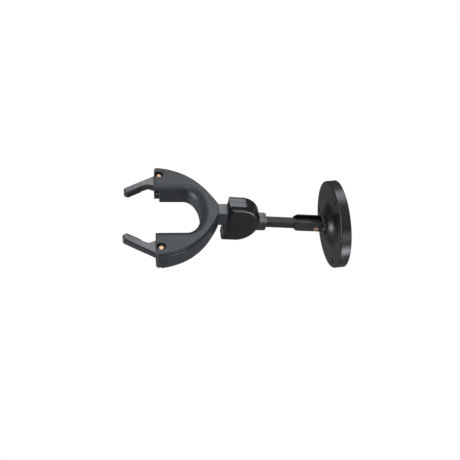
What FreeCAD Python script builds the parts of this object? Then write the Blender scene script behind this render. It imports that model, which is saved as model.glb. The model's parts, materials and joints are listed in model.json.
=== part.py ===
import FreeCAD, Part
import math
import os

# Wall guitar hanger with a rocking, self-closing yoke.  Millimetres, +Z up.
# Origin: centre of the wall plate's back face.  The wall is the plane Y = 0 and the room is at -Y.
#
# Three working frames share the X axis:
#   wall frame   the file's own frame
#   stem frame   starts STEM_DROP below the origin and climbs STEM_PITCH towards the room
#   yoke frame   Z = 0 is just under the pad's top face, and Y reads the same as in the stem frame
#                at the housing's front

# ---- wall plate ----
PLATE_R = 45.0
PLATE_THICK = 10.0
PLATE_EDGE = 1.2
PLATE_RECESS_OUT_R = 31.0
PLATE_RECESS_IN_R = 14.5
PLATE_RECESS_DEPTH = 5.5
BOSS_FOOT_R = 28.0
BOSS_TOP_R = 13.2
BOSS_TOP_Y = -15.8
WALL_SCREW_COUNT = 3
WALL_SCREW_CIRCLE_R = 37.5
WALL_SCREW_R = 2.3
WALL_SCREW_SINK_R = 3.2
WALL_SCREW_SINK_DEPTH = 1.4
WALL_SCREW_TURN = 6.0

# ---- stem and its bracket ----
STEM_DROP = 1.9
STEM_PITCH = 12.2
STEM_HALF = 4.0
STEM_EDGE = 0.5
STEM_FRONT_Y = -92.0
FLANGE_HALF = 10.8
FLANGE_TOP = 9.4
FLANGE_BOTTOM = -4.4
FLANGE_CORNER = 3.4
FLANGE_THICK = 2.0
FLANGE_Y = BOSS_TOP_Y - FLANGE_THICK
EAR_GAP = 0.05
EAR_THICK = 1.3
EAR_FRONT_Y = -49.0
EAR_TOP = 7.6
EAR_BOTTOM = -5.8
EAR_CORNER = 3.4
EAR_ROUND = 0.6
BRACKET_SCREW_R = 1.6
BRACKET_HEAD_R = 2.1
BRACKET_HEAD_TALL = 1.5
BRACKET_HEAD_EDGE = 0.6
BRACKET_SCREW_DEPTH = 8.0
BRACKET_SCREW_SPOTS = ((-7.8, 4.0), (7.8, 4.0))
RIVET_Y = -24.7
RIVET_Z = -1.9
RIVET_R = 1.5
RIVET_BORE_R = 0.9
RIVET_HEAD_R = 2.4
RIVET_HEAD_TALL = 0.7

# ---- driver recesses and sunk heads ----
RECESS_LONG = 1.2
RECESS_WIDE = 0.3
RECESS_DEEP = 0.7
HEAD_SUNK = 0.3
HEAD_CLEAR = 0.15

# ---- collar behind the housing ----
COLLAR_HALF_WIDE = 6.9
COLLAR_TOP = 6.2
COLLAR_BOTTOM = -6.2
COLLAR_BACK_Y = -78.6
COLLAR_FRONT_Y = -87.5
COLLAR_LIP = 1.6
COLLAR_LIP_STEP = 0.5
COLLAR_EDGE = 0.8
STEM_PIN_Y = -90.0
STEM_PIN_R = 1.25
STEM_PIN_HALF = 7.6

# ---- housing (stem frame) ----
HOUSE_HALF = 9.0
HOUSE_FRONT_Y = -120.5
HOUSE_TOP = 26.0
HOUSE_BOTTOM = -22.3
HOUSE_ARC_Y = -107.0
HOUSE_BACK_Y = -86.3
HOUSE_WALL = 2.2
HOUSE_EDGE = 4.2
SOCKET_FRONT_Y = -94.5
SOCKET_HALF = 6.4
MOUTH_HALF = 7.0
MOUTH_TOP = 16.8
MOUTH_BOTTOM = -8.0
HOUSE_SCREW_SPOTS = ((-114.0, 20.2), (-92.3, 11.0), (-93.8, -10.4))
HOUSE_POST_R = 3.2
HOUSE_SCREW_R = 1.25
HOUSE_HEAD_R = 2.2
HOUSE_HEAD_TALL = 2.2
HOUSE_HEAD_SUNK = 0.9
HOUSE_SCREW_TIP_X = 6.6

# ---- rocking pivot (stem frame) ----
TRUNNION_Y = -104.5
TRUNNION_Z = -11.3
TRUNNION_R = 2.5
TRUNNION_HALF = 8.1
ANCHOR_Z = 11.2
ANCHOR_R = 1.5
ANCHOR_HALF = 8.1
BUSH_OUT_R = 3.5
BUSH_IN_R = 2.56
BUMP_TOP = -2.9
BUMP_BACK_Y = -116.4
BUMP_GAP = 0.2
BUMP_SET_IN = 0.6
BUMP_EDGE = 0.8
SPRING_Y = -113.2
SPRING_R = 2.5
SPRING_WIRE_R = 0.5
SPRING_BOTTOM = -19.5
SPRING_TOP = -0.6
SPRING_TURNS = 7

# ---- yoke (yoke frame) ----
YOKE_PITCH = 8.0
YOKE_TOP_AT_MOUTH = 14.8
YOKE_BOTTOM = -17.6
YOKE_END_Y = -189.5
YOKE_OUTER = ((6.5, -128.6), (17.6, -134.4), (31.9, -144.0), (46.2, -160.0), (52.2, -172.8), (55.2, -189.5))
YOKE_TIP_CORNER = 4.4
GAP_HALF = 26.2
GAP_BEND_Y = -161.0
GAP_BEND_RISE = 15.0
OUTER_WALL = 2.0
INNER_WALL = 1.2
BODY_EDGE = 0.8
BODY_FOOT_EDGE = 1.6
RIM_WIDE = 1.6
PAD_TOP = 2.9
PAD_BASE = -0.4
PAD_INSET = 0.5
PAD_WALL = 1.6
PAD_ROLL = 8.0
PAD_OUTER_ROLL = 0.7
PAD_FOOT = -16.8
PAD_WALL_END_Y = -184.5
COVER_BASE = -2.8
COVER_ROLL = 2.0
JAW_TOP = -12.4
JAW_INSET = 4.6
COVER_SCREW_SPOTS = ((10.6, -134.0), (39.6, -159.5), (47.0, -172.5))
COVER_POST_R = 2.5
COVER_SCREW_R = 1.1
COVER_HEAD_R = 2.1
COVER_HEAD_TALL = 1.3
COVER_SCREW_TIP = -1.5
NECK_HALF = 6.5
NECK_TOP = -0.6
NECK_FRONT_TOP = 1.2
NECK_STEP_Y = (-117.5, -112.0)
NECK_BOTTOM = -15.0
NECK_FRONT_Y = -134.0
NECK_BACK_Y = -96.0
CHEEK_IN = 3.6
CHEEK_R = 5.2
BRIDGE_BASE = -2.4
CHANNEL_FRONT_Y = -142.0
CHANNEL_OPEN_Y = -109.0
TRUNNION_YOKE = (-106.45, -27.2)
ANCHOR_YOKE = (-104.81, -4.76)
WINDOW_Y = (-107.2, -98.5)
WINDOW_Z = (-7.7, -2.4)

# ---- gates (yoke frame, right-hand gate; the left one is its mirror) ----
PIVOT_X = 45.3
PIVOT_Y = -184.8
PIN_R = 2.0
PIN_HEAD_R = 2.7
PIN_HEAD_TOP = 0.6
PIN_HEAD_BASE = -1.6
PIN_HEAD_EDGE = 0.9
PIN_SINK_R = 3.7
PIN_BOTTOM = -17.1
CLIP_POCKET_R = 4.3
CLIP_POCKET_TOP = -15.6
CLIP_TOP = -15.8
CLIP_THICK = 0.7
CLIP_GROOVE_R = 1.5
CLIP_OUT_R = 3.6
CLIP_MOUTH_HALF = 1.2
GATE_BORE_R = 2.06
GATE_ANGLE = 31.0
GATE_TOP = -3.1
GATE_ROOT_BASE = -9.8
GATE_BASE = -10.0
GATE_OUTER = 5.8
GATE_INNER = -1.4
GATE_TIP = 38.2
GATE_BEVEL = 0.9
GATE_THICK_FROM = 12.6
SLEEVE_FROM = 21.5
SLEEVE_TO = 36.6
SLEEVE_OUT = 1.0
PEG_ARM = 5.47
PEG_R = 1.2
PEG_BOTTOM = -12.1
PEG_TOP = -6.0

# ---- actuator fork (yoke frame) ----
FORK_TOP = -10.1
FORK_BASE = -12.1
FORK_IN_X = 31.3
FORK_OUT_X = 34.6
FORK_IN_RISE = 18.2
FORK_OUT_RISE = 20.4
FORK_TIP_Y = -187.8
FORK_HEAD_BACK_Y = -181.4
FORK_HEAD_X = 42.5
FORK_SLOT = 3.1
FORK_TAIL_HALF = 3.0
HOOK_SLOT = 3.3
HOOK_WALL = 1.45
HOOK_TOP = -2.9
HOOK_FLOOR = -7.6


# ---------------------------------------------------------------- helpers
def vec(x, y, z):
    return FreeCAD.Vector(x, y, z)


def box(x0, x1, y0, y1, z0, z1):
    return Part.makeBox(x1 - x0, y1 - y0, z1 - z0, vec(x0, y0, z0))


def rod_x(y, z, r, x0, x1):
    return Part.makeCylinder(r, x1 - x0, vec(x0, y, z), vec(1, 0, 0))


def rod_y(x, z, r, y0, y1):
    return Part.makeCylinder(r, y1 - y0, vec(x, y0, z), vec(0, 1, 0))


def rod_z(x, y, r, z0, z1):
    return Part.makeCylinder(r, z1 - z0, vec(x, y, z0), vec(0, 0, 1))


def mirrored(shape):
    return shape.mirror(vec(0, 0, 0), vec(1, 0, 0))


def both_sides(shape):
    return [shape, mirrored(shape)]


def rounded_wire(corners, place):
    """Closed wire through (u, v, radius) corners; place(u, v) gives the 3-D point."""
    edges = []
    previous_end = None
    first_start = None
    count = len(corners)
    for i in range(count):
        u, v, radius = corners[i]
        before = corners[i - 1]
        after = corners[(i + 1) % count]
        corner = vec(u, v, 0)
        to_before = (vec(before[0], before[1], 0) - corner).normalize()
        to_after = (vec(after[0], after[1], 0) - corner).normalize()
        if radius > 0:
            half = to_before.getAngle(to_after) / 2
            setback = radius / math.tan(half)
            bisector = (to_before + to_after).normalize()
            start = corner + to_before * setback
            end = corner + to_after * setback
            middle = corner + bisector * (radius / math.sin(half) - radius)
        else:
            start = end = corner
        if previous_end is not None and (start - previous_end).Length > 1e-6:
            edges.append(Part.makeLine(place(previous_end.x, previous_end.y), place(start.x, start.y)))
        if radius > 0:
            arc = Part.Arc(place(start.x, start.y), place(middle.x, middle.y), place(end.x, end.y))
            edges.append(arc.toShape())
        if first_start is None:
            first_start = start
        previous_end = end
    if (first_start - previous_end).Length > 1e-6:
        last = place(previous_end.x, previous_end.y)
        edges.append(Part.makeLine(last, place(first_start.x, first_start.y)))
    return Part.Wire(edges)


def plate_x(corners, x0, x1):
    """Plate with a (y, z, radius) outline, between two X values."""
    wire = rounded_wire(corners, lambda y, z: vec(x0, y, z))
    return Part.Face(wire).extrude(vec(x1 - x0, 0, 0))


def plate_z(corners, z0, z1):
    """Plate with an (x, y, radius) outline, between two Z values."""
    wire = rounded_wire(corners, lambda x, y: vec(x, y, z0))
    return Part.Face(wire).extrude(vec(0, 0, z1 - z0))


def edges_at(shape, test):
    """Edges whose every sampled point passes the test."""
    chosen = []
    for edge in shape.Edges:
        points = edge.discretize(5)
        if all(test(point) for point in points):
            chosen.append(edge)
    return chosen


def from_stem(shape):
    placed = shape.copy()
    placed.rotate(vec(0, 0, 0), vec(1, 0, 0), -STEM_PITCH)
    placed.translate(vec(0, 0, -STEM_DROP))
    return placed


def from_yoke(shape):
    anchor = from_stem(Part.Vertex(0, HOUSE_FRONT_Y, YOKE_TOP_AT_MOUTH)).Point
    placed = shape.copy()
    placed.translate(vec(0, -HOUSE_FRONT_Y, 0))
    placed.rotate(vec(0, 0, 0), vec(1, 0, 0), -YOKE_PITCH)
    placed.translate(anchor)
    return placed


def cross_recess(mouth, axis):
    """Cross-shaped driver recess sunk along an axis from the middle of its mouth."""
    recess = box(-RECESS_LONG, RECESS_LONG, -RECESS_WIDE, RECESS_WIDE, -1, RECESS_DEEP)
    recess = recess.fuse(box(-RECESS_WIDE, RECESS_WIDE, -RECESS_LONG, RECESS_LONG, -1, RECESS_DEEP))
    if axis == "x":
        recess.rotate(vec(0, 0, 0), vec(0, 1, 0), 90)
    if axis == "y":
        recess.rotate(vec(0, 0, 0), vec(1, 0, 0), -90)
    recess.translate(mouth)
    return recess


def ring_points(count, turn, radius):
    for i in range(count):
        angle = math.radians(turn + i * 360.0 / count)
        yield radius * math.sin(angle), radius * math.cos(angle)


# ---------------------------------------------------------------- wall side
def wall_plate():
    flank = Part.BezierCurve()
    foot = vec(BOSS_FOOT_R, -PLATE_THICK, 0)
    top = vec(BOSS_TOP_R, BOSS_TOP_Y, 0)
    flank.setPoles([foot, vec(BOSS_FOOT_R - 6.5, -PLATE_THICK, 0), vec(BOSS_TOP_R + 6.5, BOSS_TOP_Y, 0), top])
    corners = [
        top,
        vec(0, BOSS_TOP_Y, 0),
        vec(0, 0, 0),
        vec(PLATE_RECESS_IN_R, 0, 0),
        vec(PLATE_RECESS_IN_R, -PLATE_RECESS_DEPTH, 0),
        vec(PLATE_RECESS_OUT_R, -PLATE_RECESS_DEPTH, 0),
        vec(PLATE_RECESS_OUT_R, 0, 0),
        vec(PLATE_R, 0, 0),
        vec(PLATE_R, -PLATE_THICK, 0),
        foot,
    ]
    outline = Part.Wire([flank.toShape()] + [Part.makeLine(a, b) for a, b in zip(corners, corners[1:])])
    disc = Part.Face(outline).revolve(vec(0, 0, 0), vec(0, 1, 0), 360)
    rim = edges_at(disc, lambda p: abs(math.hypot(p.x, p.z) - PLATE_R) < 0.01 and p.y < -PLATE_THICK + 0.01)
    disc = disc.makeFillet(PLATE_EDGE, rim)
    for x, z in ring_points(WALL_SCREW_COUNT, WALL_SCREW_TURN, WALL_SCREW_CIRCLE_R):
        face_y = -PLATE_THICK
        start = vec(x, face_y, z)
        sink = Part.makeCone(WALL_SCREW_SINK_R, WALL_SCREW_R, WALL_SCREW_SINK_DEPTH, start, vec(0, 1, 0))
        disc = disc.cut(rod_y(x, z, WALL_SCREW_R, face_y - 1, 1)).cut(sink)
    for x, z in BRACKET_SCREW_SPOTS:
        disc = disc.cut(rod_y(x, z, BRACKET_SCREW_R, BOSS_TOP_Y - 1, BOSS_TOP_Y + BRACKET_SCREW_DEPTH))
    return disc


def room_side(y):
    return box(-60, 60, -300, y, -80, 80)


def bracket():
    corners = [
        (EAR_FRONT_Y, EAR_BOTTOM + EAR_CORNER, EAR_ROUND),
        (EAR_FRONT_Y + EAR_CORNER, EAR_BOTTOM, EAR_ROUND),
        (0, EAR_BOTTOM, 0),
        (0, EAR_TOP, 0),
        (EAR_FRONT_Y + EAR_CORNER, EAR_TOP, EAR_ROUND),
        (EAR_FRONT_Y, EAR_TOP - EAR_CORNER, EAR_ROUND),
    ]
    near = STEM_HALF + EAR_GAP
    ear = plate_x(corners, near, near + EAR_THICK)
    ear = ear.cut(rod_x(RIVET_Y, RIVET_Z, RIVET_R, 0, 20))
    ears = [from_stem(side).common(room_side(BOSS_TOP_Y)) for side in both_sides(ear)]
    r = FLANGE_CORNER
    outline = [
        (-FLANGE_HALF, FLANGE_BOTTOM, r),
        (FLANGE_HALF, FLANGE_BOTTOM, r),
        (FLANGE_HALF, FLANGE_TOP, r),
        (-FLANGE_HALF, FLANGE_TOP, r),
    ]
    flange_face = Part.Face(rounded_wire(outline, lambda x, z: vec(x, FLANGE_Y, z)))
    flange = flange_face.extrude(vec(0, FLANGE_THICK, 0))
    for x, z in BRACKET_SCREW_SPOTS:
        flange = flange.cut(rod_y(x, z, BRACKET_SCREW_R, FLANGE_Y - 1, BOSS_TOP_Y + 1))
    return flange.fuse(ears).removeSplitter()


def bracket_screws():
    screws = []
    for x, z in BRACKET_SCREW_SPOTS:
        crown_y = FLANGE_Y - BRACKET_HEAD_TALL
        head = rod_y(x, z, BRACKET_HEAD_R, crown_y, FLANGE_Y)
        head = head.makeFillet(BRACKET_HEAD_EDGE, edges_at(head, lambda p: abs(p.y - crown_y) < 0.01))
        shank = rod_y(x, z, BRACKET_SCREW_R, FLANGE_Y, BOSS_TOP_Y + BRACKET_SCREW_DEPTH)
        recess = cross_recess(vec(x, crown_y, z), "y")
        screws.append(head.fuse(shank).cut(recess).removeSplitter())
    return screws


def at_stem_corner(point):
    return abs(abs(point.x) - STEM_HALF) < 0.01 and abs(abs(point.z) - STEM_HALF) < 0.01


def stem_bar():
    bar = box(-STEM_HALF, STEM_HALF, STEM_FRONT_Y, 0, -STEM_HALF, STEM_HALF)
    bar = bar.makeFillet(STEM_EDGE, edges_at(bar, at_stem_corner))
    bar = bar.cut(rod_x(RIVET_Y, RIVET_Z, RIVET_R, -20, 20))
    bar = bar.cut(rod_x(STEM_PIN_Y, 0, STEM_PIN_R, -20, 20))
    return from_stem(bar).common(room_side(FLANGE_Y))


def stem_rivet():
    half = STEM_HALF + EAR_GAP + EAR_THICK
    rivet = rod_x(RIVET_Y, RIVET_Z, RIVET_R, -half, half)
    for x in (-half - RIVET_HEAD_TALL, half):
        rivet = rivet.fuse(rod_x(RIVET_Y, RIVET_Z, RIVET_HEAD_R, x, x + RIVET_HEAD_TALL))
    rivet = rivet.cut(rod_x(RIVET_Y, RIVET_Z, RIVET_BORE_R, -20, 20)).removeSplitter()
    return from_stem(rivet)


def collar_block():
    step = COLLAR_LIP_STEP
    wide = COLLAR_HALF_WIDE
    main = box(-wide, wide, COLLAR_FRONT_Y, COLLAR_BACK_Y - COLLAR_LIP, COLLAR_BOTTOM, COLLAR_TOP)
    corners = edges_at(main, lambda p: abs(abs(p.x) - wide) < 0.01 and abs(p.z) > 5)
    main = main.makeFillet(COLLAR_EDGE, corners)
    lip_y = COLLAR_BACK_Y - COLLAR_LIP
    lip = box(-wide + step, wide - step, lip_y, COLLAR_BACK_Y, COLLAR_BOTTOM + step, COLLAR_TOP - step)
    return main.fuse(lip)


def stem_collar():
    bore = box(-STEM_HALF, STEM_HALF, -200, 0, -STEM_HALF, STEM_HALF)
    return from_stem(collar_block().cut(bore))


def stem_pin():
    return from_stem(rod_x(STEM_PIN_Y, 0, STEM_PIN_R, -STEM_PIN_HALF, STEM_PIN_HALF))


# ---------------------------------------------------------------- housing
def d_prism(inset, half):
    """D outline with straight front and elliptical back, pulled in by inset, for |x| < half."""
    top = HOUSE_TOP - inset
    bottom = HOUSE_BOTTOM + inset
    front = HOUSE_FRONT_Y + inset
    middle = (top + bottom) / 2
    crown = vec(-half, HOUSE_ARC_Y, top)
    tail = vec(-half, HOUSE_BACK_Y - inset, middle)
    base = vec(-half, HOUSE_ARC_Y, bottom)
    arc = Part.ArcOfEllipse(Part.Ellipse(crown, tail, vec(-half, HOUSE_ARC_Y, middle)), 0, math.pi)
    top_front = vec(-half, front, top)
    bottom_front = vec(-half, front, bottom)
    edges = [
        Part.makeLine(top_front, crown),
        arc.toShape(),
        Part.makeLine(base, bottom_front),
        Part.makeLine(bottom_front, top_front),
    ]
    return Part.Face(Part.Wire(edges)).extrude(vec(2 * half, 0, 0))


def housing():
    shell = d_prism(0, HOUSE_HALF)
    shell = shell.makeFillet(HOUSE_EDGE, edges_at(shell, lambda p: abs(abs(p.x) - HOUSE_HALF) < 0.01))
    hollow = d_prism(HOUSE_WALL, HOUSE_HALF - HOUSE_WALL)
    socket = box(-20, 20, SOCKET_FRONT_Y, -60, -SOCKET_HALF, SOCKET_HALF)
    posts = [rod_x(y, z, HOUSE_POST_R, -20, 20) for y, z in HOUSE_SCREW_SPOTS]
    hollow = hollow.cut([socket] + posts)
    shell = shell.cut(hollow)
    mouth_y = HOUSE_FRONT_Y + HOUSE_WALL + 0.5
    mouth = box(-MOUTH_HALF, MOUTH_HALF, HOUSE_FRONT_Y - 1, mouth_y, MOUTH_BOTTOM, MOUTH_TOP)
    stem_room = box(-STEM_HALF, STEM_HALF, STEM_FRONT_Y, -60, -STEM_HALF, STEM_HALF)
    cuts = [mouth, stem_room, collar_block()]
    cuts.append(rod_x(TRUNNION_Y, TRUNNION_Z, TRUNNION_R, -TRUNNION_HALF, TRUNNION_HALF))
    cuts.append(rod_x(TRUNNION_Y, ANCHOR_Z, ANCHOR_R, -ANCHOR_HALF, ANCHOR_HALF))
    cuts.append(rod_x(STEM_PIN_Y, 0, STEM_PIN_R, -STEM_PIN_HALF, STEM_PIN_HALF))
    for y, z in HOUSE_SCREW_SPOTS:
        cuts.append(rod_x(y, z, HOUSE_SCREW_R, -HOUSE_HALF, HOUSE_SCREW_TIP_X))
        cuts.append(rod_x(y, z, HOUSE_HEAD_R, -HOUSE_HALF - 1, -HOUSE_HALF + HOUSE_HEAD_TALL))
    for cut in cuts:
        shell = shell.cut(cut)
    return shell


def housing_half(side):
    keep = box(0, 20, -200, 0, -60, 60)
    if side < 0:
        keep = mirrored(keep)
    return from_stem(housing().common(keep))


def housing_screws():
    screws = []
    for y, z in HOUSE_SCREW_SPOTS:
        face_x = -HOUSE_HALF + HOUSE_HEAD_SUNK
        head = rod_x(y, z, HOUSE_HEAD_R - HEAD_CLEAR, face_x, -HOUSE_HALF + HOUSE_HEAD_TALL)
        shank = rod_x(y, z, HOUSE_SCREW_R, -HOUSE_HALF + HOUSE_HEAD_TALL, HOUSE_SCREW_TIP_X)
        recess = cross_recess(vec(face_x, y, z), "x")
        screws.append(from_stem(head.fuse(shank).cut(recess).removeSplitter()))
    return screws


def trunnion_pin():
    return from_stem(rod_x(TRUNNION_Y, TRUNNION_Z, TRUNNION_R, -TRUNNION_HALF, TRUNNION_HALF))


def anchor_pin():
    return from_stem(rod_x(TRUNNION_Y, ANCHOR_Z, ANCHOR_R, -ANCHOR_HALF, ANCHOR_HALF))


def bump_stop():
    half = MOUTH_HALF - BUMP_GAP
    block = box(-half, half, HOUSE_FRONT_Y + BUMP_SET_IN, BUMP_BACK_Y, MOUTH_BOTTOM, BUMP_TOP)
    block = block.makeFillet(BUMP_EDGE, edges_at(block, lambda p: abs(p.z - BUMP_TOP) < 0.01))
    return from_stem(block)


def return_spring():
    height = SPRING_TOP - SPRING_BOTTOM
    helix = Part.makeHelix(height / SPRING_TURNS, height, SPRING_R)
    section = Part.Wire(Part.makeCircle(SPRING_WIRE_R, vec(SPRING_R, 0, 0), vec(0, 1, 0)))
    coil = Part.Wire(helix).makePipeShell([section], True, True)
    coil = Part.Solid(coil) if coil.ShapeType == "Shell" else coil
    coil.translate(vec(0, SPRING_Y, SPRING_BOTTOM))
    return from_stem(coil)


# ---------------------------------------------------------------- yoke
def outer_points(inset):
    """Right-hand outer contour, shifted inwards along its own normal."""
    points = []
    last = len(YOKE_OUTER) - 1
    for i, (x, y) in enumerate(YOKE_OUTER):
        x_a, y_a = YOKE_OUTER[max(i - 1, 0)]
        x_b, y_b = YOKE_OUTER[min(i + 1, last)]
        length = math.hypot(x_b - x_a, y_b - y_a)
        normal_x = (y_b - y_a) / length
        normal_y = -(x_b - x_a) / length
        points.append(vec(x + inset * normal_x, y + inset * normal_y, 0))
    points[-1].y = YOKE_END_Y
    return points


def yoke_plan(outer_inset, inner_inset, z0, z1):
    """U-shaped block between two heights; insets pull its outer and inner contours into the arm."""
    right = outer_points(outer_inset)
    left = [vec(-p.x, p.y, 0) for p in reversed(right)]
    right_curve = Part.BSplineCurve()
    right_curve.interpolate(right)
    left_curve = Part.BSplineCurve()
    left_curve.interpolate(left)
    inner = GAP_HALF + inner_inset
    rise = GAP_BEND_RISE + inner_inset
    centre = vec(0, GAP_BEND_Y, 0)
    if inner > rise:
        ellipse = Part.Ellipse(vec(-inner, GAP_BEND_Y, 0), vec(0, GAP_BEND_Y + rise, 0), centre)
        bend = Part.ArcOfEllipse(ellipse, 0, math.pi).toShape()
    edges = [
        right_curve.toShape(),
        Part.makeLine(right[0], left[-1]),
        left_curve.toShape(),
        Part.makeLine(left[0], vec(-inner, YOKE_END_Y, 0)),
        Part.makeLine(vec(-inner, YOKE_END_Y, 0), vec(-inner, GAP_BEND_Y, 0)),
        bend,
        Part.makeLine(vec(inner, GAP_BEND_Y, 0), vec(inner, YOKE_END_Y, 0)),
        Part.makeLine(vec(inner, YOKE_END_Y, 0), right[-1]),
    ]
    face = Part.Face(Part.Wire(Part.__sortEdges__(edges)))
    face.translate(vec(0, 0, z0))
    return face.extrude(vec(0, 0, z1 - z0))


def on_gap_wall(point, inset):
    """True for points on the inner contour pulled in by inset."""
    inner = GAP_HALF + inset
    rise = GAP_BEND_RISE + inset
    if point.y <= GAP_BEND_Y:
        return abs(abs(point.x) - inner) < 0.02
    return abs(math.hypot(point.x / inner, (point.y - GAP_BEND_Y) / rise) - 1) < 0.002


def outer_edges(block, z):
    """Edges at one height along the two outer contours, without the tips and the neck side."""
    chosen = []
    for edge in block.Edges:
        points = edge.discretize(5)
        level = all(abs(p.z - z) < 0.01 for p in points)
        reach = [abs(p.x) for p in points]
        along = max(reach) > GAP_HALF + 5 and min(reach) < GAP_HALF - 5
        long = abs(points[0].y - points[-1].y) > 30
        if level and along and long and not any(on_gap_wall(p, 0) for p in points[1:-1]):
            chosen.append(edge)
    return chosen


def roll_outer_edge(block, z, radius):
    """Rounds an edge along the two outer contours."""
    return block.makeFillet(radius, outer_edges(block, z))


def roll_inner_edge(block, inset, z, radius):
    edge = edges_at(block, lambda p: abs(p.z - z) < 0.01 and on_gap_wall(p, inset))
    return block.makeFillet(radius, edge)


def corner_cutter():
    """Removes the sharp outer corners of the two tips, rounding them."""
    outer_x = YOKE_OUTER[-1][0]
    r = YOKE_TIP_CORNER
    block = box(outer_x - r, outer_x + 5, YOKE_END_Y - 5, YOKE_END_Y + r, -30, 5)
    block = block.cut(rod_z(outer_x - r, YOKE_END_Y + r, r, -40, 10))
    return block.fuse(mirrored(block))


def core_block(z0):
    """The yoke under its pad, down to z0."""
    block = yoke_plan(0, PAD_WALL, z0, PAD_BASE)
    block = roll_inner_edge(block, PAD_WALL, PAD_BASE, COVER_ROLL)
    return block.cut(corner_cutter())


def cavity():
    room = yoke_plan(OUTER_WALL, PAD_WALL + INNER_WALL, JAW_TOP, COVER_BASE)
    open_ends = box(GAP_HALF + 1, 52.4, YOKE_END_Y - 3, YOKE_END_Y + 4, JAW_TOP, COVER_BASE)
    notch = box(GAP_HALF - 2, GAP_HALF + 6, YOKE_END_Y - 3, PAD_WALL_END_Y, JAW_TOP, COVER_BASE)
    room = room.fuse(both_sides(open_ends) + both_sides(notch))
    posts = []
    for x, y in COVER_SCREW_SPOTS:
        posts += both_sides(rod_z(x, y, COVER_POST_R, -30, 5))
    return room.cut(posts)


def cover_region():
    """Space of the cover plate inside the body's rim."""
    plate = yoke_plan(RIM_WIDE, PAD_WALL, COVER_BASE, PAD_BASE + 1)
    return plate.cut(box(-8, 8, NECK_FRONT_Y, -120, -20, 5))


def pin_sinks():
    return both_sides(rod_z(PIVOT_X, PIVOT_Y, PIN_SINK_R, PIN_HEAD_BASE, 5))


def cheek(x0, x1):
    """Rear of the neck seen from the side: reaches back and down to the rocking pivot."""
    y, z = TRUNNION_YOKE
    corners = [
        (NECK_STEP_Y[1], NECK_TOP, 2.0),
        (NECK_STEP_Y[0], NECK_FRONT_TOP, 2.0),
        (NECK_FRONT_Y, NECK_FRONT_TOP, 0),
        (NECK_FRONT_Y, NECK_BOTTOM, 0),
        (y - CHEEK_R - 1.6, NECK_BOTTOM, 1.5),
        (y - CHEEK_R, z - CHEEK_R, CHEEK_R - 0.01),
        (y + CHEEK_R, z - CHEEK_R, CHEEK_R - 0.01),
        (NECK_BACK_Y, NECK_BOTTOM, 3.0),
        (NECK_BACK_Y, NECK_TOP, 2.0),
    ]
    return plate_x(corners, x0, x1)


def neck():
    block = cheek(-NECK_HALF, NECK_HALF)
    y, z = TRUNNION_YOKE
    cuts = [
        box(-CHEEK_IN, CHEEK_IN, NECK_FRONT_Y - 5, -80, JAW_TOP, BRIDGE_BASE),
        box(-CHEEK_IN, CHEEK_IN, CHANNEL_OPEN_Y, -80, -60, BRIDGE_BASE),
        box(-CHEEK_IN, CHEEK_IN, NECK_FRONT_Y - 5, -80, -60, NECK_BOTTOM),
        box(-20, 20, WINDOW_Y[0], WINDOW_Y[1], WINDOW_Z[0], WINDOW_Z[1]),
        rod_x(y, z, BUSH_OUT_R, -20, 20),
    ]
    for cut in cuts:
        block = block.cut(cut)
    return block


def yoke_body():
    body = roll_outer_edge(core_block(YOKE_BOTTOM), PAD_BASE, BODY_EDGE)
    body = roll_outer_edge(body, YOKE_BOTTOM, BODY_FOOT_EDGE)
    foot = yoke_plan(0, 0, YOKE_BOTTOM, PAD_FOOT).cut(box(-60, 60, YOKE_END_Y - 5, PAD_WALL_END_Y, -30, 5))
    body = body.fuse(foot.cut(corner_cutter()))
    body = body.cut(cover_region()).cut(cavity())
    half = GAP_HALF + JAW_INSET
    body = body.cut(box(-half, half, YOKE_END_Y - 5, PAD_WALL_END_Y, -30, COVER_BASE))
    body = body.fuse(neck())
    body = body.cut(box(-CHEEK_IN, CHEEK_IN, CHANNEL_FRONT_Y, HOUSE_FRONT_Y, JAW_TOP, BRIDGE_BASE))
    for pin_cut in both_sides(rod_z(PIVOT_X, PIVOT_Y, PIN_R, -30, 5)):
        body = body.cut(pin_cut)
    for pocket in both_sides(rod_z(PIVOT_X, PIVOT_Y, CLIP_POCKET_R, -30, CLIP_POCKET_TOP)):
        body = body.cut(pocket)
    for x, y in COVER_SCREW_SPOTS:
        hole = rod_z(x, y, COVER_SCREW_R, -30, COVER_BASE + 0.01)
        sink = rod_z(x, y, COVER_HEAD_R + HEAD_CLEAR, -30, YOKE_BOTTOM + COVER_HEAD_TALL + HEAD_SUNK)
        for cut in both_sides(hole) + both_sides(sink):
            body = body.cut(cut)
    return from_yoke(body.removeSplitter())


def yoke_cover():
    plate = core_block(COVER_BASE).common(cover_region())
    for sink in pin_sinks():
        plate = plate.cut(sink)
    for pin_cut in both_sides(rod_z(PIVOT_X, PIVOT_Y, PIN_R, -30, 5)):
        plate = plate.cut(pin_cut)
    for x, y in COVER_SCREW_SPOTS:
        for hole in both_sides(rod_z(x, y, COVER_SCREW_R, COVER_BASE - 1, COVER_SCREW_TIP)):
            plate = plate.cut(hole)
    return from_yoke(plate)


def yoke_pad():
    pad = yoke_plan(PAD_INSET, 0, PAD_FOOT, PAD_TOP)
    pad = roll_inner_edge(pad, 0, PAD_TOP, PAD_ROLL)
    pad = roll_outer_edge(pad, PAD_TOP, PAD_OUTER_ROLL)
    pad = pad.cut(corner_cutter())
    pad = pad.cut(core_block(YOKE_BOTTOM))
    pad = pad.cut(box(-60, 60, YOKE_END_Y - 5, PAD_WALL_END_Y, -30, COVER_BASE))
    for sink in pin_sinks():
        pad = pad.cut(sink)
    pad = pad.cut(box(-NECK_HALF, NECK_HALF, NECK_FRONT_Y, -120, -30, NECK_FRONT_TOP))
    return from_yoke(pad)


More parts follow.
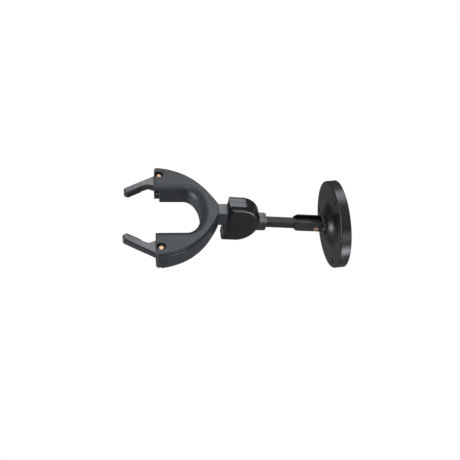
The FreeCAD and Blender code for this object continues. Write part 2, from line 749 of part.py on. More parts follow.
def cover_screws():
    screws = []
    for x, y in COVER_SCREW_SPOTS:
        base = YOKE_BOTTOM + HEAD_SUNK
        head = rod_z(x, y, COVER_HEAD_R, base, base + COVER_HEAD_TALL)
        shank = rod_z(x, y, COVER_SCREW_R, base + COVER_HEAD_TALL, COVER_SCREW_TIP)
        screw = head.fuse(shank).cut(cross_recess(vec(x, y, base), "z")).removeSplitter()
        screws += [from_yoke(side) for side in both_sides(screw)]
    return screws


def gate_pins():
    head = rod_z(PIVOT_X, PIVOT_Y, PIN_HEAD_R, PIN_HEAD_BASE, PIN_HEAD_TOP)
    head = head.makeFillet(PIN_HEAD_EDGE, edges_at(head, lambda p: abs(p.z - PIN_HEAD_TOP) < 0.01))
    shank = rod_z(PIVOT_X, PIVOT_Y, PIN_R, PIN_BOTTOM, PIN_HEAD_BASE)
    groove = rod_z(PIVOT_X, PIVOT_Y, PIN_R + 1, CLIP_TOP - CLIP_THICK, CLIP_TOP)
    groove = groove.cut(rod_z(PIVOT_X, PIVOT_Y, CLIP_GROOVE_R, -30, 5))
    pin = head.fuse(shank).cut(groove).removeSplitter()
    return [from_yoke(side) for side in both_sides(pin)]


def pin_clips():
    low = CLIP_TOP - CLIP_THICK
    clip = rod_z(PIVOT_X, PIVOT_Y, CLIP_OUT_R, low, CLIP_TOP)
    clip = clip.cut(rod_z(PIVOT_X, PIVOT_Y, CLIP_GROOVE_R, -30, 5))
    half = CLIP_MOUTH_HALF
    clip = clip.cut(box(PIVOT_X - half, PIVOT_X + half, PIVOT_Y - 5, PIVOT_Y, -30, 5))
    return [from_yoke(side) for side in both_sides(clip)]


def trunnion_bushes():
    y, z = TRUNNION_YOKE
    bush = rod_x(y, z, BUSH_OUT_R, CHEEK_IN, NECK_HALF)
    bush = bush.cut(rod_x(y, z, BUSH_IN_R, 0, 20))
    return [from_yoke(side) for side in both_sides(bush)]


# ---------------------------------------------------------------- gates
def gate_place(along, aside):
    """Gate coordinates (distance from the pivot along the finger, outboard offset) to yoke X, Y."""
    angle = math.radians(GATE_ANGLE)
    x = PIVOT_X - along * math.sin(angle) + aside * math.cos(angle)
    y = PIVOT_Y - along * math.cos(angle) - aside * math.sin(angle)
    return x, y


def gate_plate(corners, z0, z1):
    placed = []
    for along, aside, radius in corners:
        x, y = gate_place(along, aside)
        placed.append((x, y, radius))
    return plate_z(placed, z0, z1)


def gate_side(point):
    """Outboard offset of a point from the finger's axis through the pivot."""
    angle = math.radians(GATE_ANGLE)
    return (point.x - PIVOT_X) * math.cos(angle) - (point.y - PIVOT_Y) * math.sin(angle)


def gate_along(point):
    """Distance of a point from the pivot along the finger's axis."""
    angle = math.radians(GATE_ANGLE)
    return -(point.x - PIVOT_X) * math.sin(angle) - (point.y - PIVOT_Y) * math.cos(angle)


def outer_bevel(block):
    """Bevels the outboard top edge of a gate block, and round its tip."""
    def bevelled(point):
        outboard = abs(gate_side(point) - GATE_OUTER) < 0.01
        at_tip = gate_along(point) > GATE_TIP - 4.3
        return abs(point.z - GATE_TOP) < 0.01 and (outboard or at_tip)
    return block.makeChamfer(GATE_BEVEL, edges_at(block, bevelled))


def gate_arm():
    root = [
        (-4.6, 1.0, 3.0),
        (0.0, GATE_OUTER, 3.2),
        (GATE_THICK_FROM + 3, GATE_OUTER, 0),
        (GATE_THICK_FROM + 3, GATE_INNER - 0.6, 0),
        (13.6, -2.4, 1.5),
        (9.4, -8.4, 1.0),
        (6.2, -10.6, 1.4),
        (1.0, -7.4, 3.0),
        (-4.2, -3.2, 2.4),
    ]
    finger = [
        (GATE_THICK_FROM, GATE_OUTER, 0),
        (GATE_TIP, GATE_OUTER, 4.2),
        (GATE_TIP, GATE_INNER, 2.9),
        (SLEEVE_FROM, GATE_INNER, 0),
        (GATE_THICK_FROM + 2.4, GATE_INNER - 0.4, 1.0),
        (GATE_THICK_FROM, GATE_INNER - 0.4, 0),
    ]
    blade = outer_bevel(gate_plate(finger, GATE_BASE, GATE_TOP))
    arm = outer_bevel(gate_plate(root, GATE_ROOT_BASE, GATE_TOP)).fuse(blade).removeSplitter()
    arm = arm.cut(rod_z(PIVOT_X, PIVOT_Y, GATE_BORE_R, -30, 5))
    return arm.cut(rod_z(PIVOT_X - PEG_ARM, PIVOT_Y, PEG_R, -30, PEG_TOP))


def gate_sleeve():
    corners = [
        (SLEEVE_FROM, GATE_INNER, 0),
        (SLEEVE_FROM, GATE_INNER - SLEEVE_OUT, 0.5),
        (SLEEVE_TO, GATE_INNER - SLEEVE_OUT, 0.8),
        (SLEEVE_TO, GATE_INNER, 0),
    ]
    pad = gate_plate(corners, GATE_BASE, GATE_TOP)
    return pad.cut(gate_arm())


def gate_peg():
    return rod_z(PIVOT_X - PEG_ARM, PIVOT_Y, PEG_R, PEG_BOTTOM, PEG_TOP)


def sided(shape, side):
    return from_yoke(shape if side > 0 else mirrored(shape))


# ---------------------------------------------------------------- actuator fork
def half_ellipse_block(half_x, rise, z0, z1):
    """Straight-sided bar end: |x| < half_x from the tips back to the bend, closed by a half ellipse."""
    left = vec(-half_x, GAP_BEND_Y, z0)
    right = vec(half_x, GAP_BEND_Y, z0)
    ellipse = Part.Ellipse(left, vec(0, GAP_BEND_Y + rise, z0), vec(0, GAP_BEND_Y, z0))
    corner_left = vec(-half_x, FORK_TIP_Y, z0)
    corner_right = vec(half_x, FORK_TIP_Y, z0)
    edges = [
        Part.ArcOfEllipse(ellipse, 0, math.pi).toShape(),
        Part.makeLine(right, corner_right),
        Part.makeLine(corner_right, corner_left),
        Part.makeLine(corner_left, left),
    ]
    return Part.Face(Part.Wire(Part.__sortEdges__(edges))).extrude(vec(0, 0, z1 - z0))


def actuator_fork():
    fork = half_ellipse_block(FORK_OUT_X, FORK_OUT_RISE, FORK_BASE, FORK_TOP)
    fork = fork.cut(half_ellipse_block(FORK_IN_X, FORK_IN_RISE, FORK_BASE - 1, FORK_TOP + 1))
    head = box(FORK_IN_X, FORK_HEAD_X, FORK_TIP_Y, FORK_HEAD_BACK_Y, FORK_BASE, FORK_TOP)
    slot_left = PIVOT_X - PEG_ARM - PEG_R - 0.35
    slot = box(slot_left, FORK_HEAD_X + 1, PIVOT_Y - FORK_SLOT / 2, PIVOT_Y + FORK_SLOT / 2, -30, 5)
    head = head.cut(slot)
    pin_y = ANCHOR_YOKE[0]
    back = pin_y + HOOK_SLOT / 2 + HOOK_WALL
    front = pin_y - HOOK_SLOT / 2 - HOOK_WALL
    apex = GAP_BEND_Y + (FORK_IN_RISE + FORK_OUT_RISE) / 2
    tail = box(-FORK_TAIL_HALF, FORK_TAIL_HALF, apex, back, FORK_BASE, FORK_TOP)
    hook = box(-FORK_TAIL_HALF, FORK_TAIL_HALF, front, back, FORK_BASE, HOOK_TOP)
    hook_slot = box(-20, 20, pin_y - HOOK_SLOT / 2, pin_y + HOOK_SLOT / 2, HOOK_FLOOR, 5)
    fork = fork.fuse(both_sides(head) + [tail, hook]).cut(hook_slot).removeSplitter()
    return from_yoke(fork)


# ---------------------------------------------------------------- output
def save(node, shape):
    solids = shape if isinstance(shape, list) else [shape]
    loose = []
    for piece in solids:
        loose += piece.Solids
    result = loose[0] if len(loose) == 1 else Part.makeCompound(loose)
    result.exportStep("parts/" + node + ".step")
    bounds = result.BoundBox
    print("%-20s solids %d  volume %9.1f  x %.1f..%.1f  y %.1f..%.1f  z %.1f..%.1f  valid %s" % (
        node, len(loose), result.Volume, bounds.XMin, bounds.XMax, bounds.YMin, bounds.YMax,
        bounds.ZMin, bounds.ZMax, result.isValid()))


os.makedirs("parts", exist_ok=True)
save("wall_plate", wall_plate())
save("bracket", bracket())
save("bracket_screws", bracket_screws())
save("stem_rivet", stem_rivet())
save("stem_bar", stem_bar())
save("stem_collar", stem_collar())
save("stem_pin", stem_pin())
save("housing_left", housing_half(-1))
save("housing_right", housing_half(1))
save("housing_screws", housing_screws())
save("trunnion_pin", trunnion_pin())
save("anchor_pin", anchor_pin())
save("bump_stop", bump_stop())
save("return_spring", return_spring())
save("yoke_body", yoke_body())
save("yoke_cover", yoke_cover())
save("yoke_pad", yoke_pad())
save("cover_screws", cover_screws())
save("gate_pins", gate_pins())
save("pin_clips", pin_clips())
save("trunnion_bushes", trunnion_bushes())
save("actuator_fork", actuator_fork())
for name, side in (("left", -1), ("right", 1)):
    save("gate_arm_" + name, sided(gate_arm(), side))
    save("gate_sleeve_" + name, sided(gate_sleeve(), side))
    save("gate_peg_" + name, sided(gate_peg(), side))
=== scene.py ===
import json
import math

import bmesh
import bpy
from mathutils import Matrix, Vector


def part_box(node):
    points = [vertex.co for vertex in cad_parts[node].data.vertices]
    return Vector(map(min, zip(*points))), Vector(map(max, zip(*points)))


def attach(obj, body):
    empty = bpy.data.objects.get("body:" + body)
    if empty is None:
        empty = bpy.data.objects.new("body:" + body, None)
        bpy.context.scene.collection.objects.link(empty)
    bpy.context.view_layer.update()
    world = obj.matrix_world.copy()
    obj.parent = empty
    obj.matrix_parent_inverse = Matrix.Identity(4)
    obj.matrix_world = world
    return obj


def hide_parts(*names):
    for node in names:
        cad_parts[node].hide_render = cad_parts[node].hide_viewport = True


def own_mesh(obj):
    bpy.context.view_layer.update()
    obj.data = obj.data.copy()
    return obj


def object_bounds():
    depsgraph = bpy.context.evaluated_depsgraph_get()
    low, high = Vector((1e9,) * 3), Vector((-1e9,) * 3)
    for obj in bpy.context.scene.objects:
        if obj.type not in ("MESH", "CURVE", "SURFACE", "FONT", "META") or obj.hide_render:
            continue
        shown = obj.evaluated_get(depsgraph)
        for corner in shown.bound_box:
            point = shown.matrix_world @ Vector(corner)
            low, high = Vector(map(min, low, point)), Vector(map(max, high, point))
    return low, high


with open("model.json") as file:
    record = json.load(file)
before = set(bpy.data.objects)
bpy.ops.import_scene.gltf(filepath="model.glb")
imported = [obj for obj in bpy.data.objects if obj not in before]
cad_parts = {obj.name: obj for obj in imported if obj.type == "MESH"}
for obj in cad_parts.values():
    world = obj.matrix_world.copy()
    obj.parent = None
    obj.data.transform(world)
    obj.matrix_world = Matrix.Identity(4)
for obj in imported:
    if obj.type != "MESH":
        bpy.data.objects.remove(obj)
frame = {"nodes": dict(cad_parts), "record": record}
nodes = frame["nodes"]
cad_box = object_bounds()

MM = 0.001

# ---- camera: place and clipping in metres, lens and sensor in millimetres ----
CAMERA_PLACE = (0.3181, -0.1443, 0.3988)
CAMERA_BACK = (0.629, -0.063, 0.775)
CAMERA_RIGHT = (0.115, 0.993, -0.012)
CAMERA_LENS = 39.13
CAMERA_SENSOR = 36.0
CAMERA_CLIP_START = 0.01

# ---- frames of the stem and the yoke, as the CAD source builds them (millimetres, degrees) ----
STEM_PITCH = 12.2
STEM_DROP = 1.9
HOUSE_FRONT_Y = -120.5
YOKE_PITCH = 8.0
YOKE_TOP_AT_MOUTH = 14.8


def pitched(point, degrees):
    """A point turned about the X axis, so that what lies out along -Y rises."""
    angle = math.radians(degrees)
    x, y, z = point
    along = y * math.cos(angle) + z * math.sin(angle)
    above = z * math.cos(angle) - y * math.sin(angle)
    return Vector((x, along, above))


def from_stem(point):
    """A place in the stem's frame, in millimetres, as a world place in metres."""
    return (pitched(point, STEM_PITCH) + Vector((0, 0, -STEM_DROP))) * MM


def from_yoke(point):
    """A place in the yoke's frame, in millimetres, as a world place in metres."""
    x, y, z = point
    anchor = from_stem((0, HOUSE_FRONT_Y, YOKE_TOP_AT_MOUTH))
    return pitched((x, y - HOUSE_FRONT_Y, z), YOKE_PITCH) * MM + anchor


# ---------------------------------------------------------------- camera
def add_camera():
    back = Vector(CAMERA_BACK).normalized()
    up = back.cross(Vector(CAMERA_RIGHT)).normalized()
    right = up.cross(back)
    data = bpy.data.cameras.new("camera")
    data.lens = CAMERA_LENS
    data.sensor_width = CAMERA_SENSOR
    data.clip_start = CAMERA_CLIP_START
    camera = bpy.data.objects.new("camera", data)
    bpy.context.scene.collection.objects.link(camera)
    turn = Matrix((right, up, back)).transposed().to_4x4()
    camera.matrix_world = Matrix.Translation(Vector(CAMERA_PLACE)) @ turn
    bpy.context.scene.camera = camera


# ---------------------------------------------------------------- node helpers
BEVEL_SAMPLES = 14

# A mix node's sockets have the same names for numbers and colours, so the colour ones go by number.
MIX_FACTOR = 0
MIX_FIRST = 6
MIX_SECOND = 7
MIX_RESULT = 2


def opaque(colour):
    """A plain (red, green, blue) with its alpha added. A node's output stays as it is."""
    return (*colour, 1.0) if isinstance(colour, tuple) else colour


class Tree:
    """A material's node tree with short ways to add nodes and links."""

    def __init__(self, name):
        self.material = bpy.data.materials.new(name)
        self.material.use_nodes = True
        self.nodes = self.material.node_tree.nodes
        self.links = self.material.node_tree.links
        self.shader = self.nodes["Principled BSDF"]
        self.coords = self.nodes.new("ShaderNodeTexCoord").outputs["Object"]

    def feed(self, socket, value):
        """Links a node's output into a socket, or sets a plain value on it."""
        if isinstance(value, bpy.types.NodeSocket):
            self.links.new(value, socket)
        else:
            socket.default_value = value

    def add(self, kind, inputs, **settings):
        node = self.nodes.new(kind)
        for key, value in settings.items():
            setattr(node, key, value)
        for key, value in inputs.items():
            self.feed(node.inputs[key], value)
        return node

    def stretched(self, x, y, z):
        return self.add("ShaderNodeMapping", {"Vector": self.coords, "Scale": (x, y, z)}).outputs["Vector"]

    def noise(self, size_mm, detail, roughness=0.5, coords=None):
        inputs = {
            "Vector": coords or self.coords,
            "Scale": 1.0 / (size_mm * MM),
            "Detail": detail,
            "Roughness": roughness,
        }
        return self.add("ShaderNodeTexNoise", inputs).outputs["Fac"]

    def pebbles(self, size_mm):
        inputs = {"Vector": self.coords, "Scale": 1.0 / (size_mm * MM)}
        return self.add("ShaderNodeTexVoronoi", inputs, feature="SMOOTH_F1").outputs["Distance"]

    def ramp(self, value, start, end, low=0.0, high=1.0):
        """Goes from low to high as the value goes from start to end, and stays level outside them."""
        inputs = {"Value": value, "From Min": start, "From Max": end, "To Min": low, "To Max": high}
        return self.add("ShaderNodeMapRange", inputs).outputs["Result"]

    def mix(self, factor, first, second):
        """Mixes two colours, each a colour output or a plain (red, green, blue)."""
        inputs = {MIX_FACTOR: factor, MIX_FIRST: opaque(first), MIX_SECOND: opaque(second)}
        return self.add("ShaderNodeMix", inputs, data_type="RGBA").outputs[MIX_RESULT]

    def maths(self, operation, *values):
        return self.add("ShaderNodeMath", dict(enumerate(values)), operation=operation).outputs[0]

    def bump(self, height, depth_mm, strength, below=None):
        inputs = {"Height": height, "Distance": depth_mm * MM, "Strength": strength}
        if below is not None:
            inputs["Normal"] = below
        return self.add("ShaderNodeBump", inputs).outputs["Normal"]

    def soft_edges(self, radius_mm):
        bevel = self.add("ShaderNodeBevel", {"Radius": radius_mm * MM}, samples=BEVEL_SAMPLES)
        return bevel.outputs["Normal"]

    def finish(self, **sockets):
        """Feeds the shader's sockets, named with _ for each space, and gives the material."""
        for name, value in sockets.items():
            self.feed(self.shader.inputs[name.replace("_", " ")], value)
        return self.material


# ---------------------------------------------------------------- kinds of finish
SEAM_INNER_MM = 0.04
SEAM_OUTER_MM = 0.22
SEAM_DEPTH_MM = 0.12
SEAM_DARK = (0.004, 0.004, 0.005)
DULL_SHARE = 0.75


def coated(name, base, light, grain_mm, roughness, depth_mm=0.002, edge_mm=0.4, specular=0.5):
    """Satin coat on metal: orange-peel grain, faint cloudy tone, scuffed shine and softened edges."""
    tree = Tree(name)
    grain = tree.noise(grain_mm, detail=2.0)
    cloud = tree.noise(size_mm=14.0, detail=3.0)
    colour = tree.mix(tree.ramp(cloud, start=0.35, end=0.65), base, light)
    colour = tree.mix(tree.ramp(grain, start=0.45, end=0.75, high=0.35), colour, light)
    scuff = tree.noise(size_mm=3.5, detail=5.0, roughness=0.7)
    shine = tree.ramp(scuff, start=0.3, end=0.7, low=roughness - 0.05, high=roughness + 0.07)
    normal = tree.bump(grain, depth_mm, strength=0.5, below=tree.soft_edges(edge_mm))
    return tree.finish(Base_Color=colour, Roughness=shine, Normal=normal, Specular_IOR_Level=specular)


def moulded(name, base, light, roughness, seam=False, edge_mm=0.45, specular=0.5):
    """Moulded plastic: fine spark-eroded texture, and a parting line where two halves meet."""
    tree = Tree(name)
    spark = tree.noise(size_mm=0.35, detail=2.0)
    cloud = tree.noise(size_mm=9.0, detail=2.0)
    colour = tree.mix(tree.ramp(cloud, start=0.35, end=0.65), base, light)
    normal = tree.bump(spark, depth_mm=0.004, strength=0.3, below=tree.soft_edges(edge_mm))
    blotch = tree.noise(size_mm=5.0, detail=4.0, roughness=0.6)
    shine = tree.ramp(blotch, start=0.3, end=0.7, low=roughness - 0.04, high=roughness + 0.06)
    if seam:
        across = tree.add("ShaderNodeSeparateXYZ", {"Vector": tree.coords}).outputs["X"]
        distance = tree.maths("ABSOLUTE", across)
        closeness = tree.ramp(distance, start=SEAM_INNER_MM * MM, end=SEAM_OUTER_MM * MM, low=1.0, high=0.0)
        colour = tree.mix(closeness, colour, SEAM_DARK)
        normal = tree.bump(tree.maths("SUBTRACT", 1.0, closeness), SEAM_DEPTH_MM, strength=0.8, below=normal)
    return tree.finish(Base_Color=colour, Roughness=shine, Normal=normal, Specular_IOR_Level=specular)


def soft_rubber(name, base, light, roughness, pebble_mm=0.5, specular=0.3):
    """Soft-touch rubber: matt pebble skin with a slightly dusty bloom."""
    tree = Tree(name)
    pebble = tree.pebbles(pebble_mm)
    bloom = tree.noise(size_mm=6.0, detail=5.0, roughness=0.65)
    fine = tree.noise(size_mm=0.25, detail=2.0)
    colour = tree.mix(tree.ramp(bloom, start=0.35, end=0.7), base, light)
    colour = tree.mix(tree.ramp(fine, start=0.4, end=0.8, high=0.25), colour, light)
    shine = tree.ramp(bloom, start=0.3, end=0.7, low=roughness - 0.05, high=roughness + 0.06)
    skin = tree.bump(pebble, depth_mm=0.02, strength=0.35)
    normal = tree.bump(fine, depth_mm=0.006, strength=0.5, below=skin)
    return tree.finish(Base_Color=colour, Roughness=shine, Normal=normal, Specular_IOR_Level=specular)


def brushed(name, base, light, roughness, stretch):
    """Drawn or turned metal: streaks along one axis over a faintly uneven tone."""
    tree = Tree(name)
    dull = tuple(DULL_SHARE * channel for channel in base)
    streaks = tree.noise(size_mm=0.5, detail=3.0, roughness=0.6, coords=tree.stretched(*stretch))
    tone = tree.noise(size_mm=2.5, detail=3.0)
    colour = tree.mix(tree.ramp(streaks, start=0.3, end=0.7), base, light)
    colour = tree.mix(tree.ramp(tone, start=0.4, end=0.7, high=0.3), colour, dull)
    shine = tree.ramp(streaks, start=0.3, end=0.7, low=roughness - 0.06, high=roughness + 0.08)
    normal = tree.bump(streaks, depth_mm=0.006, strength=0.5, below=tree.soft_edges(radius_mm=0.15))
    return tree.finish(Base_Color=colour, Roughness=shine, Normal=normal, Metallic=1.0)


# ---------------------------------------------------------------- the record's material slots
def plate_coat(name):
    base, light = (0.006, 0.007, 0.008), (0.009, 0.010, 0.012)
    return coated(name, base, light, grain_mm=0.8, roughness=0.29, depth_mm=0.0008, edge_mm=0.35)


def bracket_coat(name):
    base, light = (0.005, 0.005, 0.006), (0.008, 0.008, 0.009)
    return coated(name, base, light, grain_mm=0.6, roughness=0.30)


def screw_black(name):
    base, light = (0.02, 0.02, 0.022), (0.04, 0.04, 0.042)
    return coated(name, base, light, grain_mm=0.4, roughness=0.22)


def rivet_copper(name):
    base, light = (0.62, 0.33, 0.22), (0.80, 0.50, 0.36)
    return brushed(name, base, light, roughness=0.30, stretch=(1, 1, 6))


def stem_coat(name):
    base, light = (0.007, 0.008, 0.010), (0.010, 0.011, 0.013)
    return coated(name, base, light, grain_mm=0.6, roughness=0.36, specular=0.27)


def collar_coat(name):
    base, light = (0.012, 0.013, 0.015), (0.018, 0.019, 0.021)
    return moulded(name, base, light, roughness=0.26, seam=True)


def housing_black(name):
    base, light = (0.004, 0.005, 0.006), (0.007, 0.008, 0.009)
    return moulded(name, base, light, roughness=0.20, seam=True)


def pin_steel(name):
    base, light = (0.50, 0.50, 0.52), (0.64, 0.64, 0.66)
    return brushed(name, base, light, roughness=0.28, stretch=(1, 6, 6))


def spring_steel(name):
    base, light = (0.36, 0.36, 0.38), (0.52, 0.52, 0.54)
    return brushed(name, base, light, roughness=0.30, stretch=(1, 1, 6))


def bump_rubber(name):
    base, light = (0.010, 0.010, 0.011), (0.018, 0.018, 0.019)
    return soft_rubber(name, base, light, roughness=0.7)


def yoke_coat(name):
    base, light = (0.026, 0.029, 0.032), (0.031, 0.034, 0.038)
    return coated(name, base, light, grain_mm=0.6, roughness=0.26, depth_mm=0.001, edge_mm=0.5)


def cover_black(name):
    base, light = (0.010, 0.010, 0.011), (0.016, 0.016, 0.017)
    return moulded(name, base, light, roughness=0.40)


def pad_soft(name):
    base, light = (0.020, 0.022, 0.025), (0.027, 0.030, 0.034)
    return soft_rubber(name, base, light, roughness=0.42, specular=0.38)


def pin_brass(name):
    base, light = (0.36, 0.215, 0.13), (0.46, 0.29, 0.18)
    return brushed(name, base, light, roughness=0.36, stretch=(1, 5, 1))


def bush_nylon(name):
    base, light = (0.52, 0.50, 0.44), (0.62, 0.60, 0.54)
    return moulded(name, base, light, roughness=0.42)


def fork_steel(name):
    base, light = (0.36, 0.36, 0.37), (0.50, 0.50, 0.51)
    return brushed(name, base, light, roughness=0.32, stretch=(1, 6, 1))


def gate_black(name):
    base, light = (0.022, 0.023, 0.026), (0.028, 0.030, 0.034)
    return moulded(name, base, light, roughness=0.20, edge_mm=0.9, specular=0.6)


def sleeve_rubber(name):
    base, light = (0.008, 0.009, 0.008), (0.015, 0.016, 0.015)
    return soft_rubber(name, base, light, roughness=0.50, pebble_mm=0.4)


SLOTS = (
    plate_coat, bracket_coat, screw_black, rivet_copper, stem_coat, collar_coat, housing_black, pin_steel,
    spring_steel, bump_rubber, yoke_coat, cover_black, pad_soft, pin_brass, bush_nylon, fork_steel,
    gate_black, sleeve_rubber,
)


def dress(materials):
    """Gives every CAD node the material of its slot in the record."""
    for part in frame["record"]["subparts"]:
        thing = nodes[part["node"]]
        thing.data.materials.clear()
        thing.data.materials.append(materials[part["material_slot"]])


# ---------------------------------------------------------------- new pieces
def finished(name, mesh, body, slot, stands_for, materials):
    """A new smooth piece that stands for a CAD node, rides on its body and wears its slot's material."""
    piece = bpy.data.objects.new(name, mesh)
    bpy.context.scene.collection.objects.link(piece)
    mesh.materials.clear()
    mesh.materials.append(materials[slot])
    for polygon in mesh.polygons:
        polygon.use_smooth = True
    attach(piece, body)
    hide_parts(stands_for)
    return piece


def shown_mesh(draft):
    """The mesh that a draft object shows, with its modifiers or wire worked in. The draft goes."""
    bpy.context.scene.collection.objects.link(draft)
    bpy.context.view_layer.update()
    mesh = bpy.data.meshes.new_from_object(draft.evaluated_get(bpy.context.evaluated_depsgraph_get()))
    bpy.data.objects.remove(draft)
    return mesh


# ---------------------------------------------------------------- the yoke's soft pad
PAD_VOXEL = 0.45
PAD_SOFTEN_STEPS = 14
PAD_SOFTEN_FACTOR = 0.5


def soft_pad(materials):
    """The moulded pad over the U: the CAD solid's space with its corners and edges softened."""
    draft = bpy.data.objects.new("yoke_pad_draft", nodes["yoke_pad"].data.copy())
    remesh = draft.modifiers.new("voxels", "REMESH")
    remesh.mode = "VOXEL"
    remesh.voxel_size = PAD_VOXEL * MM
    soften = draft.modifiers.new("soften", "SMOOTH")
    soften.factor = PAD_SOFTEN_FACTOR
    soften.iterations = PAD_SOFTEN_STEPS
    pad = finished("yoke_pad_skin", shown_mesh(draft), "yoke", "pad_soft", "yoke_pad", materials)


# ---------------------------------------------------------------- ribbed sleeves on the gate fingers
# Millimetres and degrees in the yoke's frame, with each finger's length measured from its pivot.
PIVOT_X = 45.3
PIVOT_Y = -184.8
GATE_ANGLE = 31.0
GATE_TOP = -3.1
GATE_BASE = -10.0
GATE_INNER = -1.4
SLEEVE_TOP = GATE_TOP - 0.9
SLEEVE_FOOT = GATE_BASE + 0.05
SLEEVE_FROM = 21.5
SLEEVE_TO = 36.6
SLEEVE_OUT = 1.0
SLEEVE_LEAST = 0.04
SLEEVE_LIP = 0.5
SLEEVE_LIP_STEPS = 4
SLEEVE_STATIONS = 120
NOSE_LENGTH = 1.2
HEEL_LENGTH = 0.5
RIB_PITCH = 1.6
RIB_DEPTH = 0.22


def gate_point(side, along, aside, z):
    """A world place on a finger, from its distance along it, across it and its height."""
    angle = math.radians(GATE_ANGLE)
    x = PIVOT_X - along * math.sin(angle) + aside * math.cos(angle)
    y = PIVOT_Y - along * math.cos(angle) - aside * math.sin(angle)
    return from_yoke((side * x, y, z))


def sleeve_section():
    """Outline across the sleeve as (share of thickness, z), with rounded lips top and bottom."""
    turns = [math.pi / 2 * i / SLEEVE_LIP_STEPS for i in range(SLEEVE_LIP_STEPS + 1)]
    lip = [((1.0 - math.sin(turn)) * SLEEVE_LIP, (1.0 - math.cos(turn)) * SLEEVE_LIP) for turn in turns]
    upper = [(1.0 - inward, SLEEVE_TOP - drop) for inward, drop in lip]
    lower = [(1.0 - inward, SLEEVE_FOOT + drop) for inward, drop in reversed(lip)]
    return [(0.0, SLEEVE_TOP), *upper, *lower, (0.0, SLEEVE_FOOT)]


def sleeve_thickness(along):
    """Thickness at a place along the finger: shallow ribs, tapering off at the nose and the heel."""
    from_end = min(1.0, (SLEEVE_TO - along) / NOSE_LENGTH, (along - SLEEVE_FROM) / HEEL_LENGTH)
    swell = math.sqrt(max(0.0, 1 - (1 - from_end) ** 2))
    rib = RIB_DEPTH * (0.5 - 0.5 * math.cos(2 * math.pi * (along - SLEEVE_FROM) / RIB_PITCH))
    return max(SLEEVE_LEAST, (SLEEVE_OUT - rib) * swell)


def ribbed_sleeve(hand, side, materials):
    """Rubber strip on a finger's inner face, lofted through its outline at each station."""
    bm = bmesh.new()
    section = sleeve_section()
    rings = []
    for i in range(SLEEVE_STATIONS + 1):
        along = SLEEVE_FROM + (SLEEVE_TO - SLEEVE_FROM) * i / SLEEVE_STATIONS
        thick = sleeve_thickness(along)
        ring = [gate_point(side, along, GATE_INNER - thick * share, z) for share, z in section]
        rings.append([bm.verts.new(point) for point in ring])
    count = len(section)
    for first, second in zip(rings, rings[1:]):
        for i in range(count):
            j = (i + 1) % count
            bm.faces.new((first[i], first[j], second[j], second[i]))
    bm.faces.new(rings[0])
    bm.faces.new(list(reversed(rings[-1])))
    bmesh.ops.recalc_face_normals(bm, faces=bm.faces)
    name = f"gate_sleeve_{hand}_ribbed"
    mesh = bpy.data.meshes.new(name)
    bm.to_mesh(mesh)
    bm.free()
    finished(name, mesh, f"gate_{hand}", "sleeve_rubber", f"gate_sleeve_{hand}", materials)


# ---------------------------------------------------------------- spring under the yoke's cheeks
# Millimetres in the stem's frame.
SPRING_Y = -113.2
SPRING_R = 2.5
SPRING_WIRE_R = 0.5
SPRING_BOTTOM = -19.5
SPRING_TOP = -0.6
SPRING_TURNS = 7
SPRING_STEPS = 32
WIRE_ROUNDNESS = 3


def spring_wire():
    """The rest-length coil as a draft curve with the wire's thickness."""
    steps = SPRING_TURNS * SPRING_STEPS
    data = bpy.data.curves.new("return_spring_wire", "CURVE")
    data.dimensions = "3D"
    data.bevel_depth = SPRING_WIRE_R * MM
    data.bevel_resolution = WIRE_ROUNDNESS
    data.use_fill_caps = True
    wire = data.splines.new("POLY")
    wire.points.add(steps)
    for i in range(steps + 1):
        turn = 2 * math.pi * i / SPRING_STEPS
        height = SPRING_BOTTOM + (SPRING_TOP - SPRING_BOTTOM) * i / steps
        place = from_stem((SPRING_R * math.cos(turn), SPRING_Y + SPRING_R * math.sin(turn), height))
        wire.points[i].co = (*place, 1.0)
    return bpy.data.objects.new("return_spring_wire", data)


def coiled_spring(materials):
    """Wire coil at its rest length, riding on the wall mount's body in place of the CAD spring."""
    mesh = shown_mesh(spring_wire())
    coil = finished("return_spring_coil", mesh, "wall_mount", "spring_steel", "return_spring", materials)
    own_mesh(coil)


# ---------------------------------------------------------------- floor and world, in metres
FLOOR_DROP = 0.16
FLOOR_HALF = 6.0
FLOOR_PALE = (0.18, 0.18, 0.18, 1)
FLOOR_ROUGHNESS = 0.9
FLOOR_SPECULAR = 0.1
WORLD_TINT = (0.97, 0.98, 1.0, 1)
WORLD_LEVEL = 0.22
WHITE = (1, 1, 1, 1)


def seen_white(tree, lighting):
    """Shows plain white to the eye, over the shader that lights the object."""
    glow = tree.nodes.new("ShaderNodeEmission")
    glow.inputs["Color"].default_value = WHITE
    path = tree.nodes.new("ShaderNodeLightPath")
    mix = tree.nodes.new("ShaderNodeMixShader")
    tree.links.new(path.outputs["Is Camera Ray"], mix.inputs[0])
    tree.links.new(lighting, mix.inputs[1])
    tree.links.new(glow.outputs[0], mix.inputs[2])
    return mix.outputs[0]


def pale_material():
    material = bpy.data.materials.new("floor_pale")
    material.use_nodes = True
    tree = material.node_tree
    shader = tree.nodes["Principled BSDF"]
    shader.inputs["Base Color"].default_value = FLOOR_PALE
    shader.inputs["Roughness"].default_value = FLOOR_ROUGHNESS
    shader.inputs["Specular IOR Level"].default_value = FLOOR_SPECULAR
    tree.links.new(seen_white(tree, shader.outputs[0]), tree.nodes["Material Output"].inputs["Surface"])
    return material


def add_floor():
    low = min(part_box("wall_plate")[0].z, cad_box[0][2]) - FLOOR_DROP
    bm = bmesh.new()
    corners = [(-1, -1), (1, -1), (1, 1), (-1, 1)]
    bm.faces.new([bm.verts.new((x * FLOOR_HALF, y * FLOOR_HALF, low)) for x, y in corners])
    mesh = bpy.data.meshes.new("floor")
    bm.to_mesh(mesh)
    bm.free()
    mesh.materials.append(pale_material())
    floor = bpy.data.objects.new("floor", mesh)
    bpy.context.scene.collection.objects.link(floor)


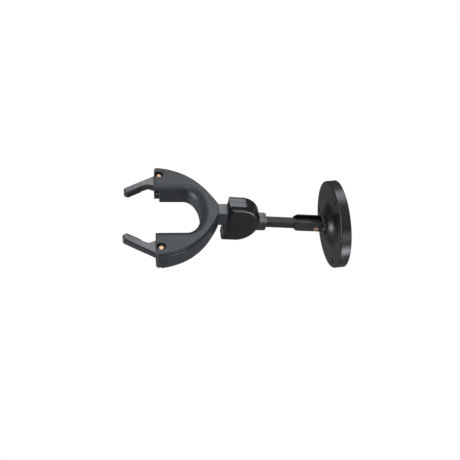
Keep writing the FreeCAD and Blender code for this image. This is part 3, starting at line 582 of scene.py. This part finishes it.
def add_world():
    world = bpy.data.worlds.new("studio")
    bpy.context.scene.world = world
    world.use_nodes = True
    tree = world.node_tree
    background = tree.nodes["Background"]
    background.inputs["Color"].default_value = WORLD_TINT
    background.inputs["Strength"].default_value = WORLD_LEVEL
    tree.links.new(seen_white(tree, background.outputs[0]), tree.nodes["World Output"].inputs["Surface"])


# ---------------------------------------------------------------- soft lights, in metres
COOL = (0.93, 0.965, 1.0)
MIDDLE = (0.0, -0.12, 0.03)
AT_PLATE = (0.0, -0.02, 0.0)
AT_STEM = (0.0, -0.08, 0.0)
AT_HOUSING = (0.0, -0.11, 0.0)
ALONG_X = (1, 0, 0)
ALONG_Y = (0, 1, 0)


def softbox(name, place, aim, across, size, radiance):
    """Rectangular soft light facing the aim point, the first of its two sizes along a direction."""
    width, height = size
    data = bpy.data.lights.new(name, "AREA")
    data.shape = "RECTANGLE"
    data.size = width
    data.size_y = height
    data.energy = radiance * math.pi * width * height
    data.color = COOL
    lamp = bpy.data.objects.new(name, data)
    bpy.context.scene.collection.objects.link(lamp)
    back = (Vector(place) - Vector(aim)).normalized()
    side = (Vector(across) - back * back.dot(Vector(across))).normalized()
    turn = Matrix((side, back.cross(side), back)).transposed().to_4x4()
    lamp.matrix_world = Matrix.Translation(Vector(place)) @ turn
    lamp.visible_camera = False


def toward(*direction):
    """The place one metre from the object's middle in a direction."""
    return Vector(MIDDLE) + Vector(direction).normalized()


def add_lights():
    softbox("softbox_far", toward(-0.58, 0.30, 0.77), MIDDLE, ALONG_Y, size=(0.68, 0.56), radiance=4.0)
    softbox("softbox_room", toward(0.26, -0.10, 0.96), MIDDLE, ALONG_Y, size=(0.44, 1.10), radiance=4.6)
    softbox("softbox_side", toward(0.85, 0.30, 0.20), MIDDLE, ALONG_Y, size=(0.36, 0.36), radiance=2.4)
    softbox("softbox_low_side", (0.28, 0.01, -0.10), AT_HOUSING, ALONG_Y, size=(0.15, 0.09), radiance=11.0)
    softbox("softbox_front", (0.05, -0.65, 0.10), AT_STEM, ALONG_X, size=(0.34, 0.24), radiance=5.0)
    softbox("softbox_low_front", (0.05, -0.60, -0.09), AT_PLATE, ALONG_X, size=(0.22, 0.14), radiance=10.0)
    softbox("softbox_behind", (0.0, 0.85, -0.03), MIDDLE, ALONG_X, size=(1.20, 0.30), radiance=1.2)


def main():
    add_camera()
    materials = {make.__name__: make(make.__name__) for make in SLOTS}
    dress(materials)
    soft_pad(materials)
    ribbed_sleeve("left", -1, materials)
    ribbed_sleeve("right", 1, materials)
    coiled_spring(materials)
    add_floor()
    add_world()
    add_lights()
    scene = bpy.context.scene
    scene.view_settings.view_transform = "Standard"
    scene.view_settings.look = "None"


main()
